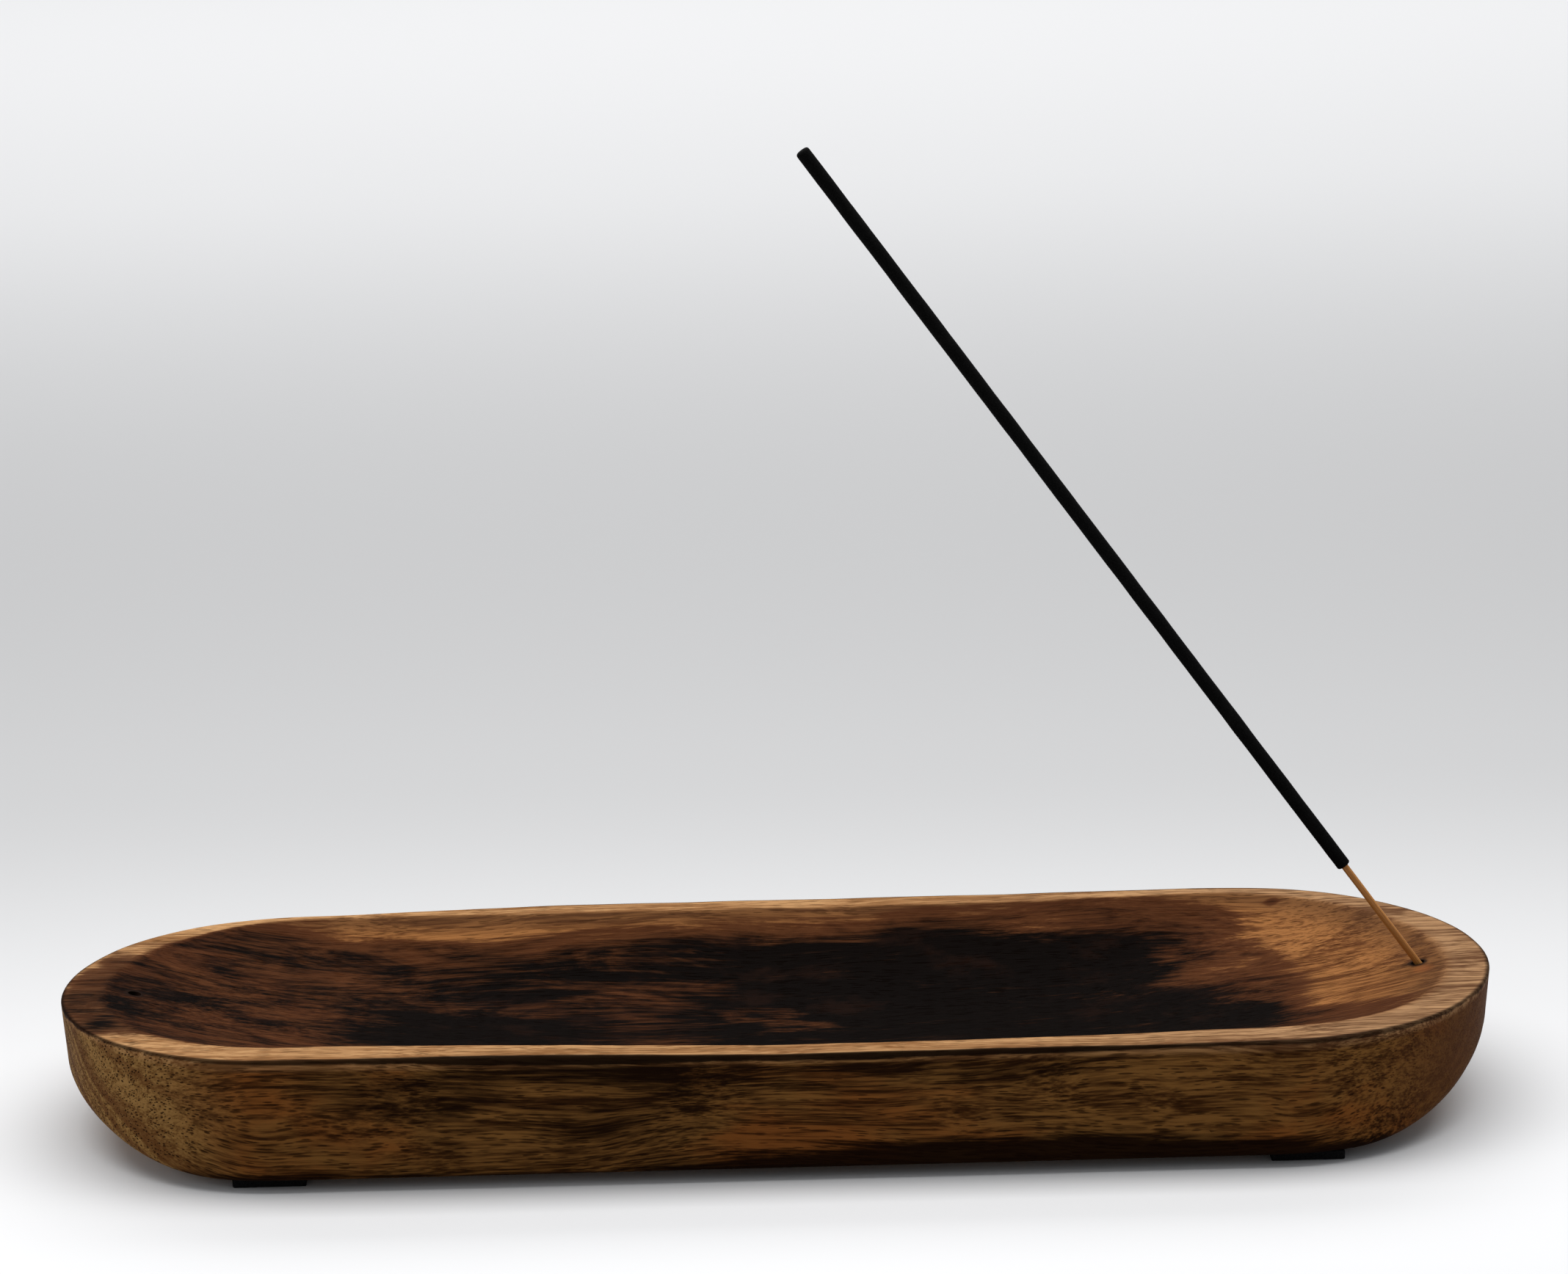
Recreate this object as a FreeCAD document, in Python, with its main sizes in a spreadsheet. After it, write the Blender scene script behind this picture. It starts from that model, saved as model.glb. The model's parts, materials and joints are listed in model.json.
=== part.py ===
import FreeCAD, Part
import math
import os

import Sketcher

# A boat-shaped incense burner: a carved wooden tray on four stick-on pads, with one
# incense stick standing at a slant in a drilled hole.
# Millimetres. X runs along the tray, Z is up, and the origin is on the table below the tray's centre.

doc = FreeCAD.newDocument("incense_burner")
V = FreeCAD.Vector

# Driving dimensions
sheet = doc.addObject("Spreadsheet::Sheet", "sizes")
SIZES = [
    # tray blank
    ("tray_length", 300.0),
    ("tray_width", 97.5),
    ("wood_height", 25.4),
    ("rim_edge_round", 0.8),
    ("base_edge_round", 3.5),
    # underside swept up towards each end; the two ends are cut by hand and differ a little
    ("left_sweep_run", 38.0),
    ("left_sweep_radius", 75.0),
    ("right_sweep_run", 34.0),
    ("right_sweep_radius", 50.0),
    # hollow
    ("rim_width_side", 5.9),
    ("rim_width_end", 8.7),
    ("hollow_depth", 13.0),
    ("hollow_floor_reach", 30.0),
    # stick holes
    ("hole_inset", 14.5),
    ("hole_lean", 35.5),
    ("hole_diameter", 2.6),
    ("hole_depth", 13.0),
    # incense stick
    ("stick_length", 229.0),
    ("core_diameter", 1.6),
    ("bare_length", 40.0),
    ("coating_diameter", 3.1),
    ("tip_cover", 1.0),
    ("coating_tip_round", 0.9),
    ("coating_foot_taper", 2.0),
    # stick-on pads
    ("pad_length", 15.0),
    ("pad_width", 24.0),
    ("pad_thickness", 2.0),
    ("film_thickness", 0.2),
    ("film_inset", 0.5),
    ("pad_corner_round", 1.0),
    ("pad_end_gap", 1.0),
    ("pad_side_gap", 1.0),
]
for row, (alias, value) in enumerate(SIZES, start=1):
    cell = "B%d" % row
    sheet.set("A%d" % row, alias)
    sheet.set(cell, str(value))
    sheet.setAlias(cell, alias)
doc.recompute()


def size(alias):
    return float(sheet.get(alias))


def plane(body, role):
    return next(part for part in body.Origin.OriginFeatures if part.Role == role)


def new_sketch(body, name, role):
    sketch = body.newObject("Sketcher::SketchObject", name)
    sketch.AttachmentSupport = [(plane(body, role), "")]
    sketch.MapMode = "FlatFace"
    return sketch


def bind(sketch, constraint, name, expression):
    index = sketch.addConstraint(constraint)
    sketch.renameConstraint(index, name)
    sketch.setExpression("Constraints." + name, expression)


# The waste below an end runs this share past the end wall, so that its cut is clean
PAST_END = 1.25


def stadium_sketch(body, name, half_length, half_width, height):
    """A round-ended outline at a height, from expressions for its half length and half width."""
    sketch = new_sketch(body, name, "XY_Plane")
    start_reach = 80.0
    start_radius = 20.0
    quarter = math.pi / 2
    up = V(0, 0, 1)
    right_circle = Part.Circle(V(start_reach, 0, 0), up, start_radius)
    left_circle = Part.Circle(V(-start_reach, 0, 0), up, start_radius)
    right = sketch.addGeometry(Part.ArcOfCircle(right_circle, -quarter, quarter))
    back = sketch.addGeometry(
        Part.LineSegment(V(start_reach, start_radius, 0), V(-start_reach, start_radius, 0)))
    left = sketch.addGeometry(Part.ArcOfCircle(left_circle, quarter, 3 * quarter))
    front = sketch.addGeometry(
        Part.LineSegment(V(-start_reach, -start_radius, 0), V(start_reach, -start_radius, 0)))
    ring = [(right, 2, back, 1), (back, 2, left, 1), (left, 2, front, 1), (front, 2, right, 1)]
    for first, first_end, second, second_end in ring:
        sketch.addConstraint(Sketcher.Constraint("Tangent", first, first_end, second, second_end))
    sketch.addConstraint(Sketcher.Constraint("Symmetric", left, 3, right, 3, -1, 1))
    sketch.addConstraint(Sketcher.Constraint("PointOnObject", right, 3, -1))
    sketch.addConstraint(Sketcher.Constraint("Equal", right, left))
    bind(sketch, Sketcher.Constraint("Radius", right, start_radius), "end_radius", half_width)
    bind(sketch, Sketcher.Constraint("DistanceX", left, 3, right, 3, 2 * start_reach), "centres",
         "2 * ((%s) - (%s))" % (half_length, half_width))
    sketch.setExpression("AttachmentOffset.Base.z", height)
    return sketch


def flat_reach(end_name):
    return "(sizes.tray_length / 2 - sizes.%s_sweep_run)" % end_name


def sweep_sketch(body, name, side, end_name):
    """The waste below one end: an arc that leaves the flat base and climbs past the end wall."""
    sketch = new_sketch(body, name, "XZ_Plane")
    radius = size(end_name + "_sweep_radius")
    run = size(end_name + "_sweep_run")
    flat = size("tray_length") / 2 - run
    past = flat + run * PAST_END
    drop = run * (PAST_END - 1)
    climb = radius - math.sqrt(radius ** 2 - (past - flat) ** 2)
    centre = V(side * flat, radius, 0)
    turn = math.asin((past - flat) / radius)
    down = -math.pi / 2
    first, last = (down, down + turn) if side > 0 else (down - turn, down)
    circle = Part.Circle(centre, V(0, 0, 1), radius)
    arc = sketch.addGeometry(Part.ArcOfCircle(circle, first, last))
    arc_foot, arc_top = (1, 2) if side > 0 else (2, 1)
    outer_line = sketch.addGeometry(
        Part.LineSegment(V(side * past, climb, 0), V(side * past, -drop, 0)))
    lower_line = sketch.addGeometry(
        Part.LineSegment(V(side * past, -drop, 0), V(side * flat, -drop, 0)))
    inner_line = sketch.addGeometry(
        Part.LineSegment(V(side * flat, -drop, 0), V(side * flat, 0, 0)))
    joined = [(arc, arc_top, outer_line, 1), (outer_line, 2, lower_line, 1),
              (lower_line, 2, inner_line, 1), (inner_line, 2, arc, arc_foot)]
    for one, one_end, other, other_end in joined:
        sketch.addConstraint(Sketcher.Constraint("Coincident", one, one_end, other, other_end))
    sketch.addConstraint(Sketcher.Constraint("Vertical", outer_line))
    sketch.addConstraint(Sketcher.Constraint("Horizontal", lower_line))
    sketch.addConstraint(Sketcher.Constraint("Vertical", inner_line))
    sketch.addConstraint(Sketcher.Constraint("PointOnObject", arc, arc_foot, -1))
    sketch.addConstraint(Sketcher.Constraint("PointOnObject", arc, 3, inner_line))
    bind(sketch, Sketcher.Constraint("Radius", arc, radius), "radius", "sizes.%s_sweep_radius" % end_name)
    ends = (-1, 1, inner_line, 2) if side > 0 else (inner_line, 2, -1, 1)
    bind(sketch, Sketcher.Constraint("DistanceX", *ends, flat), "flat", flat_reach(end_name))
    ends = (-1, 1, outer_line, 2) if side > 0 else (outer_line, 2, -1, 1)
    bind(sketch, Sketcher.Constraint("DistanceX", *ends, past), "past",
         "%s + %s * sizes.%s_sweep_run" % (flat_reach(end_name), PAST_END, end_name))
    bind(sketch, Sketcher.Constraint("DistanceY", outer_line, 2, -1, 1, drop), "drop",
         "%s * sizes.%s_sweep_run" % (PAST_END - 1, end_name))
    return sketch


def edge_names(feature, wanted):
    return ["Edge%d" % number for number, edge in enumerate(feature.Shape.Edges, start=1) if wanted(edge)]


def samples(edge):
    first, last = edge.ParameterRange
    steps = 6
    return [edge.valueAt(first + (last - first) * step / steps) for step in range(steps + 1)]


def fillet(body, name, base, edges, radius):
    rounding = body.newObject("PartDesign::Fillet", name)
    rounding.Base = (base, edges)
    rounding.setExpression("Radius", radius)
    doc.recompute()
    return rounding


# Tray: one block of hardwood with round ends, hollowed on top and swept up below each end
tray = doc.addObject("PartDesign::Body", "tray")
tray.Label = "tray"
tray.setExpression("Placement.Base.z", "sizes.pad_thickness + sizes.film_thickness")

outline = stadium_sketch(tray, "tray_outline", "sizes.tray_length / 2", "sizes.tray_width / 2", "0")
blank = tray.newObject("PartDesign::Pad", "tray_blank")
blank.Profile = outline
blank.setExpression("Length", "sizes.wood_height")
doc.recompute()

solid_before = blank.Shape.Volume
for end_name, side in (("left", -1), ("right", 1)):
    waste = sweep_sketch(tray, end_name + "_sweep_outline", side, end_name)
    sweep = tray.newObject("PartDesign::Pocket", end_name + "_sweep")
    sweep.Profile = waste
    sweep.Type = "ThroughAll"
    sweep.Midplane = True
    doc.recompute()
    if sweep.Shape.Volume >= solid_before:
        raise RuntimeError(end_name + " sweep cuts nothing")
    solid_before = sweep.Shape.Volume

NEAR = 1e-4
top_height = size("wood_height")
half_length = size("tray_length") / 2
end_radius = size("tray_width") / 2


def on_wall(point):
    beyond = max(abs(point.x) - (half_length - end_radius), 0.0)
    return abs(math.hypot(beyond, point.y) - end_radius) < NEAR


def is_base_edge(edge):
    points = samples(edge)
    level = [point.z for point in points]
    upright = all(point.sub(V(points[0].x, points[0].y, point.z)).Length < NEAR for point in points)
    return all(map(on_wall, points)) and max(level) < top_height - NEAR and not upright


def is_rim_edge(edge):
    return all(on_wall(point) and abs(point.z - top_height) < NEAR for point in samples(edge))


base_rounding = fillet(tray, "base_rounding", sweep, edge_names(sweep, is_base_edge),
                       "sizes.base_edge_round")
rim_rounding = fillet(tray, "rim_rounding", base_rounding, edge_names(base_rounding, is_rim_edge),
                      "sizes.rim_edge_round")

# The hollow: its outline spreads from the floor (0) to the rim (1) while its depth follows a parabola,
# so the long ends slope more gently than the sides. The first outline stands just clear of the rim.
END_SLOPE = "(sizes.tray_length / 2 - sizes.rim_width_end - sizes.hollow_floor_reach)"
SIDE_SLOPE = "(sizes.tray_width / 2 - sizes.rim_width_side)"
OUTLINE_SPREADS = (1.04, 0.88, 0.68, 0.44, 0.16)
sections = []
for number, spread in enumerate(OUTLINE_SPREADS):
    reach = "sizes.hollow_floor_reach + %s * %s" % (spread, END_SLOPE)
    breadth = "%s * %s" % (spread, SIDE_SLOPE)
    height = "sizes.wood_height - sizes.hollow_depth * (1 - %s ^ 2)" % spread
    sections.append(stadium_sketch(tray, "hollow_level_%d" % number, reach, breadth, height))
hollow = tray.newObject("PartDesign::SubtractiveLoft", "hollow")
hollow.Profile = sections[0]
hollow.Sections = sections[1:]
doc.recompute()
if hollow.Shape.Volume >= rim_rounding.Shape.Volume:
    raise RuntimeError("the hollow cuts nothing")

# Slanted holes near both ends, leaning in over the hollow. Each starts where its axis meets the end slope.
MOUTH_X = "(sizes.tray_length / 2 - sizes.hole_inset)"
MOUTH_SPREAD = "((%s - sizes.hollow_floor_reach) / %s)" % (MOUTH_X, END_SLOPE)
MOUTH_Z = "(sizes.wood_height - sizes.hollow_depth * (1 - %s ^ 2))" % MOUTH_SPREAD
HOLE_FOOT_X = "(%s + sizes.hole_depth * sin(sizes.hole_lean * 1deg))" % MOUTH_X
HOLE_FOOT_Z = "(%s - sizes.hole_depth * cos(sizes.hole_lean * 1deg))" % MOUTH_Z
last_cut = hollow.Shape.Volume
for end_name, side in (("left", -1), ("right", 1)):
    hole = tray.newObject("PartDesign::SubtractiveCylinder", end_name + "_hole")
    hole.setExpression("Radius", "sizes.hole_diameter / 2")
    hole.setExpression("Height", "2 * sizes.hole_depth")
    hole.Placement = FreeCAD.Placement(V(0, 0, 0), FreeCAD.Rotation(V(0, 1, 0), -side * size("hole_lean")))
    hole.setExpression("Placement.Base.x", "%d * %s" % (side, HOLE_FOOT_X))
    hole.setExpression("Placement.Base.z", HOLE_FOOT_Z)
    doc.recompute()
    if hole.Shape.Volume >= last_cut:
        raise RuntimeError(end_name + " hole cuts nothing")
    last_cut = hole.Shape.Volume

# Stick-on pads and their adhesive films, one pair under each corner
nodes = [tray]
LAYERS = (("pad", "0", "sizes.pad_thickness", "0"),
          ("film", "sizes.pad_thickness", "sizes.film_thickness", "sizes.film_inset"))
for side_name, side_y in (("front", -1), ("back", 1)):
    for end_name, side_x in (("left", -1), ("right", 1)):
        for layer, foot, thickness, inset in LAYERS:
            label = "%s_%s_%s" % (layer, side_name, end_name)
            block = doc.addObject("Part::Box", label + "_block")
            block.setExpression("Length", "sizes.pad_length - 2 * %s" % inset)
            block.setExpression("Width", "sizes.pad_width - 2 * %s" % inset)
            block.setExpression("Height", thickness)
            doc.recompute()
            corners = [number for number, edge in enumerate(block.Shape.Edges, start=1)
                       if abs(edge.Vertexes[0].Z - edge.Vertexes[1].Z) > NEAR]
            piece = doc.addObject("Part::Fillet", label)
            piece.Label = label
            piece.Base = block
            round_off = size("pad_corner_round")
            piece.Edges = [(number, round_off, round_off) for number in corners]
            outer_x = "(%s - sizes.pad_end_gap)" % flat_reach(end_name)
            outer_y = "(sizes.tray_width / 2 - sizes.base_edge_round - sizes.pad_side_gap)"
            start_x = "%s - sizes.pad_length" % outer_x if side_x > 0 else "-%s" % outer_x
            start_y = "%s - sizes.pad_width" % outer_y if side_y > 0 else "-%s" % outer_y
            piece.setExpression("Placement.Base.x", "%s + %s" % (start_x, inset))
            piece.setExpression("Placement.Base.y", "%s + %s" % (start_y, inset))
            piece.setExpression("Placement.Base.z", foot)
            nodes.append(piece)


# Incense stick: each piece is turned about its own axis, then leaned into the right-hand hole
def turned(name, profile):
    """A body turned about Z from (radius, height) corner expressions."""
    body = doc.addObject("PartDesign::Body", name)
    body.Label = name
    sketch = new_sketch(body, name + "_profile", "XZ_Plane")
    corners = [V(float(radius_now), float(height_now), 0) for radius_now, height_now, _, _ in profile]
    lines = []
    for number, corner in enumerate(corners):
        following = corners[(number + 1) % len(corners)]
        lines.append(sketch.addGeometry(Part.LineSegment(corner, following)))
    for number, line in enumerate(lines):
        following = lines[(number + 1) % len(lines)]
        sketch.addConstraint(Sketcher.Constraint("Coincident", line, 2, following, 1))
    for number, (radius_now, height_now, radius, height) in enumerate(profile):
        for kind, now, expression, axis in (("DistanceX", radius_now, radius, -2),
                                            ("DistanceY", height_now, height, -1)):
            if expression == "0":
                sketch.addConstraint(Sketcher.Constraint("PointOnObject", lines[number], 1, axis))
            else:
                bind(sketch, Sketcher.Constraint(kind, -1, 1, lines[number], 1, now),
                     "%s_%d" % (kind.lower(), number), expression)
    turning = body.newObject("PartDesign::Revolution", name + "_turning")
    turning.Profile = sketch
    turning.ReferenceAxis = (sketch, ["V_Axis"])
    turning.Angle = 360.0
    body.Placement = FreeCAD.Placement(V(0, 0, 0), FreeCAD.Rotation(V(0, 1, 0), -size("hole_lean")))
    body.setExpression("Placement.Base.x", HOLE_FOOT_X)
    body.setExpression("Placement.Base.z", "sizes.pad_thickness + sizes.film_thickness + " + HOLE_FOOT_Z)
    doc.recompute()
    nodes.append(body)
    return body


core_radius = size("core_diameter") / 2
core_top = size("stick_length") - size("tip_cover")
coating_radius = size("coating_diameter") / 2
bare = size("bare_length")
taper_top = bare + size("coating_foot_taper")
stick_top = size("stick_length")
tip_round = size("coating_tip_round")

turned("bamboo_core", [
    (0, 0, "0", "0"),
    (core_radius, 0, "sizes.core_diameter / 2", "0"),
    (core_radius, core_top, "sizes.core_diameter / 2", "sizes.stick_length - sizes.tip_cover"),
    (0, core_top, "0", "sizes.stick_length - sizes.tip_cover"),
])
turned("incense_coating", [
    (0, core_top, "0", "sizes.stick_length - sizes.tip_cover"),
    (core_radius, core_top, "sizes.core_diameter / 2", "sizes.stick_length - sizes.tip_cover"),
    (core_radius, bare, "sizes.core_diameter / 2", "sizes.bare_length"),
    (coating_radius, taper_top, "sizes.coating_diameter / 2", "sizes.bare_length + sizes.coating_foot_taper"),
    (coating_radius, stick_top - tip_round, "sizes.coating_diameter / 2",
     "sizes.stick_length - sizes.coating_tip_round"),
    (coating_radius - tip_round, stick_top, "sizes.coating_diameter / 2 - sizes.coating_tip_round",
     "sizes.stick_length"),
    (0, stick_top, "0", "sizes.stick_length"),
])

doc.recompute()
for item in doc.Objects:
    if "Invalid" in item.State or "Error" in item.State:
        raise RuntimeError("%s failed: %s" % (item.Name, item.State))
for node in nodes:
    if node.Shape.isNull() or not node.Shape.isValid():
        raise RuntimeError(node.Label + " has no valid shape")

os.makedirs("parts", exist_ok=True)
for node in nodes:
    node.Shape.exportStep("parts/%s.step" % node.Label)
    print("%-18s volume %10.2f mm3, solids %d" % (node.Label, node.Shape.Volume, len(node.Shape.Solids)))
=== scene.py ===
import json
import math

import bpy
import numpy as np
from mathutils import Matrix, Vector, noise


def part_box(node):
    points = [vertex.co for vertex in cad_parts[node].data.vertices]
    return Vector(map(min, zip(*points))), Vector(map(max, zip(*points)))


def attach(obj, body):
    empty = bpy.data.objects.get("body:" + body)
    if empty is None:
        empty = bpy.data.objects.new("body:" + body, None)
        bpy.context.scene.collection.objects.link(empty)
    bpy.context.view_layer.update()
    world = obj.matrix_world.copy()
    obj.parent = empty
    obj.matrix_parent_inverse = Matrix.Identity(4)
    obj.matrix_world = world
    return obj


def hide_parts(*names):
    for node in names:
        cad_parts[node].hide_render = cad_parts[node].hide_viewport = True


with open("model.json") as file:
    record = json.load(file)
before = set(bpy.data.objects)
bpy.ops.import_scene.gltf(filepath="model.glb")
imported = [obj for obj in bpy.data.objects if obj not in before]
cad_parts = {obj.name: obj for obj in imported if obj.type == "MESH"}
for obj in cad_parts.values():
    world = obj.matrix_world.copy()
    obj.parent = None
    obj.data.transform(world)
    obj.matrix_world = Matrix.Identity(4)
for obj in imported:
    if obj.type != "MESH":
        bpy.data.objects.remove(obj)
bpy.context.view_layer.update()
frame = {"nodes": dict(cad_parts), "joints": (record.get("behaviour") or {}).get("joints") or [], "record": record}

MM = 0.001


# Tray
# One block of plain-sawn hardwood with round ends, carved by hand to a long shallow hollow and
# swept up below both ends. It is sanded, oiled, and scorched with a flame inside the hollow.

tray_low, tray_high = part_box("tray")
half_length = (tray_high.x - tray_low.x) / 2
half_width = (tray_high.y - tray_low.y) / 2
rim_height = tray_high.z
base_height = tray_low.z

# Hollow, whose edge wanders to the back where the hand drifted
rim_width_end = 8.7 * MM
rim_width_side = 5.9 * MM
hollow_depth = 13.0 * MM
floor_reach = 30.0 * MM
hollow_length = half_length - rim_width_end
hollow_width = half_width - rim_width_side
carving_drift = 2.2 * MM
drift_place = 95.0 * MM
drift_spread = 32.0 * MM

# Edges, and the sweep below the left (-1) and right (1) end: how far in it starts, and its radius
rim_round = 0.55 * MM
wall_draft = 0.7 * MM
base_round_side = 2.6 * MM
base_round_end = 4.2 * MM
sweeps = {-1: (38.0 * MM, 75.0 * MM), 1: (34.0 * MM, 50.0 * MM)}

# The back left corner is cut a little lean, and the front left one stands a little high.
# The rise starts and is full at these places, to the left of the middle and to the front of it
lean_corner = 2.4 * MM
lean_place = 116.0 * MM
high_corner = 1.5 * MM
rise_leftwards = (-20.0 * MM, 120.0 * MM)
rise_forwards = (-35.0 * MM, 42.0 * MM)

ARC_STEPS = 84
SIDE_STEPS = 110
HOLLOW_ROWS = 30
RIM_SHARES = (0.06, 0.2, 0.5, 0.8, 0.94)
EDGE_ROWS = 5
WALL_ROWS = 10
ROUND_ROWS = 8
UNDER_ROWS = 10


def ribs_round_the_tray():
    """One (end share, cosine, sine) for each step round the outline, closed on itself."""
    ribs = []
    for step in range(ARC_STEPS):
        angle = -math.pi / 2 + math.pi * step / ARC_STEPS
        ribs.append((1.0, math.cos(angle), math.sin(angle)))
    for step in range(SIDE_STEPS):
        ribs.append((1.0 - 2.0 * step / SIDE_STEPS, 0.0, 1.0))
    for step in range(ARC_STEPS):
        angle = math.pi / 2 + math.pi * step / ARC_STEPS
        ribs.append((-1.0, math.cos(angle), math.sin(angle)))
    for step in range(SIDE_STEPS):
        ribs.append((-1.0 + 2.0 * step / SIDE_STEPS, 0.0, -1.0))
    ribs.append(ribs[0])
    return np.array(ribs)


def outline(ribs, reach, breadth):
    """Round-ended outline of that half length and half width, as plan points."""
    straight = reach - breadth
    x = ribs[:, 0] * straight + breadth * ribs[:, 1]
    y = breadth * ribs[:, 2]
    return np.stack([x, y], 1)


def underside(x):
    """Height of the swept underside at a place along the tray."""
    height = np.full_like(x, base_height)
    for side, (run, radius) in sweeps.items():
        past = np.clip(side * x - (half_length - run), 0, None)
        height += radius - np.sqrt(np.maximum(radius ** 2 - past ** 2, 0))
    return height


def hollow_reach(spread):
    """Half length of the hollow, from its floor line (0) to the rim (1)."""
    return floor_reach + spread * (hollow_length - floor_reach)


def drift_at(x):
    """How far the rim of the hollow has wandered to the back at a place along the tray."""
    return carving_drift * np.exp(-((np.abs(x) - drift_place) / drift_spread) ** 2)


def hollow_outline(ribs, spread):
    """The hollow's outline from its floor line (0) to the rim (1), drifting as a hand carves it."""
    plan = outline(ribs, hollow_reach(spread), spread * hollow_width)
    plan[:, 1] += drift_at(plan[:, 0]) * spread
    return plan


def ease(value, start, end):
    """A smooth rise from 0 to 1 as the value goes from start to end."""
    share = np.clip((value - start) / (end - start), 0, 1)
    return share * share * (3 - 2 * share)


def stretch_upwards(x, y):
    """How much taller the block is at a place than at its right end, as a factor of its height."""
    rise = high_corner * ease(-x, *rise_leftwards) * ease(-y, *rise_forwards)
    return 1 + rise / (rim_height - base_height)


def with_height(plan, height):
    """Plan points with one height, or one height each, added."""
    return np.column_stack([plan, np.broadcast_to(height, len(plan))])


ribs = ribs_round_the_tray()
outer = outline(ribs, half_length, half_width)
back_share = np.clip(ribs[:, 2], 0, 1) ** 2
outer[:, 1] -= lean_corner * back_share * np.exp(-((outer[:, 0] + lean_place) / drift_spread) ** 2)
outward = np.stack([ribs[:, 1], ribs[:, 2]], 1)
rows = []

# Hollow, from its floor line up to the rim
for step in range(HOLLOW_ROWS + 1):
    spread = math.sin(math.pi / 2 * step / HOLLOW_ROWS)
    rows.append(with_height(hollow_outline(ribs, spread), rim_height - hollow_depth * (1 - spread ** 2)))

# Flat rim between the hollow and the rounded outer edge
inner_edge = hollow_outline(ribs, 1.0)
rim_edge = outer - outward * rim_round
for share in RIM_SHARES:
    rows.append(with_height(inner_edge + (rim_edge - inner_edge) * share, rim_height))
for step in range(EDGE_ROWS + 1):
    angle = math.pi / 2 * step / EDGE_ROWS
    plan = rim_edge + outward * rim_round * math.sin(angle)
    rows.append(with_height(plan, rim_height - rim_round * (1 - math.cos(angle))))

# Wall down to the rounded base edge
base_round = base_round_side + (base_round_end - base_round_side) * ribs[:, 1] ** 2
corner_height = underside(outer[:, 0])
wall_top = rim_height - rim_round
wall_foot = corner_height + base_round
for step in range(1, WALL_ROWS + 1):
    share = step / WALL_ROWS
    plan = outer - outward * wall_draft * share
    rows.append(with_height(plan, wall_top + (wall_foot - wall_top) * share))

# Base edge, a curve from the wall through the corner to the underside
foot = outer - outward * wall_draft
inset = outer - outward * (wall_draft + base_round[:, None])
inset_height = underside(inset[:, 0])
for step in range(1, ROUND_ROWS + 1):
    share = step / ROUND_ROWS
    start, middle, end = (1 - share) ** 2, 2 * share * (1 - share), share ** 2
    plan = foot * (start + middle) + inset * end
    rows.append(with_height(plan, wall_foot * start + corner_height * middle + inset_height * end))

# Underside, closing on the centre line
spine = np.stack([ribs[:, 0] * (half_length - half_width), np.zeros(len(ribs))], 1)
for step in range(1, UNDER_ROWS + 1):
    plan = inset + (spine - inset) * step / UNDER_ROWS
    rows.append(with_height(plan, underside(plan[:, 0])))

weld_distance = 0.01 * MM
bpy.ops.object.select_all(action="DESELECT")
bpy.ops.mesh.primitive_grid_add(x_subdivisions=len(ribs) - 1, y_subdivisions=len(rows) - 1, size=1)
tray = bpy.context.object
tray.name = "carved_tray"
shape = np.concatenate(rows)
shape[:, 2] = base_height + (shape[:, 2] - base_height) * stretch_upwards(shape[:, 0], shape[:, 1])
tray.data.vertices.foreach_set("co", shape.ravel())
tray.data.update()
bpy.ops.object.mode_set(mode="EDIT")
bpy.ops.mesh.select_all(action="SELECT")
bpy.ops.mesh.remove_doubles(threshold=weld_distance)
bpy.ops.mesh.normals_make_consistent(inside=False)
bpy.ops.object.mode_set(mode="OBJECT")

# Uneven tool work: slow waves over the whole block and a fainter ripple, none where the pads sit
wave_size = 45.0 * MM
wave_height = 0.35 * MM
ripple_size = 13.0 * MM
ripple_height = 0.12 * MM
still_height = 4.0 * MM
facing = [vertex.normal.copy() for vertex in tray.data.vertices]
for vertex, normal in zip(tray.data.vertices, facing):
    lift = min(max((vertex.co.z - base_height) / still_height, 0.0), 1.0)
    slow = noise.noise(vertex.co / wave_size) * wave_height
    quick = noise.noise(vertex.co / ripple_size) * ripple_height
    vertex.co += normal * (slow + quick) * lift

# Slanted stick holes: the empty one at the left end, its mirror image at the right
spare_hole = next(mount for mount in frame["record"]["mounts"] if mount["name"] == "spare_stick_hole")
hole_radius = spare_hole["dims"]["r_mm"] * MM
hole_depth = spare_hole["dims"]["length_mm"] * MM
hole_middle = Vector(spare_hole["pos_m"])
hole_axis = Vector(spare_hole["axis"])
mirror_x = Vector((-1, 1, 1))
holes = [(hole_middle, hole_axis), (hole_middle * mirror_x, hole_axis * mirror_x)]
drill_length = 30.0 * MM
DRILL_SIDES = 40
crease_angle = math.radians(40)
for middle, axis in holes:
    centre = middle + axis * (drill_length - hole_depth) / 2
    turn = axis.to_track_quat("Z", "Y").to_euler()
    bpy.ops.object.select_all(action="DESELECT")
    bpy.ops.mesh.primitive_cylinder_add(vertices=DRILL_SIDES, radius=hole_radius, depth=drill_length,
                                        location=centre, rotation=turn)
    drill = bpy.context.object
    bpy.ops.object.select_all(action="DESELECT")
    bpy.context.view_layer.objects.active = tray
    tray.select_set(True)
    cut = tray.modifiers.new("drilling", "BOOLEAN")
    cut.operation = "DIFFERENCE"
    cut.solver = "EXACT"
    cut.object = drill
    bpy.ops.object.modifier_apply(modifier=cut.name)
    bpy.data.objects.remove(drill)
bpy.ops.object.shade_smooth_by_angle(angle=crease_angle)

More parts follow.
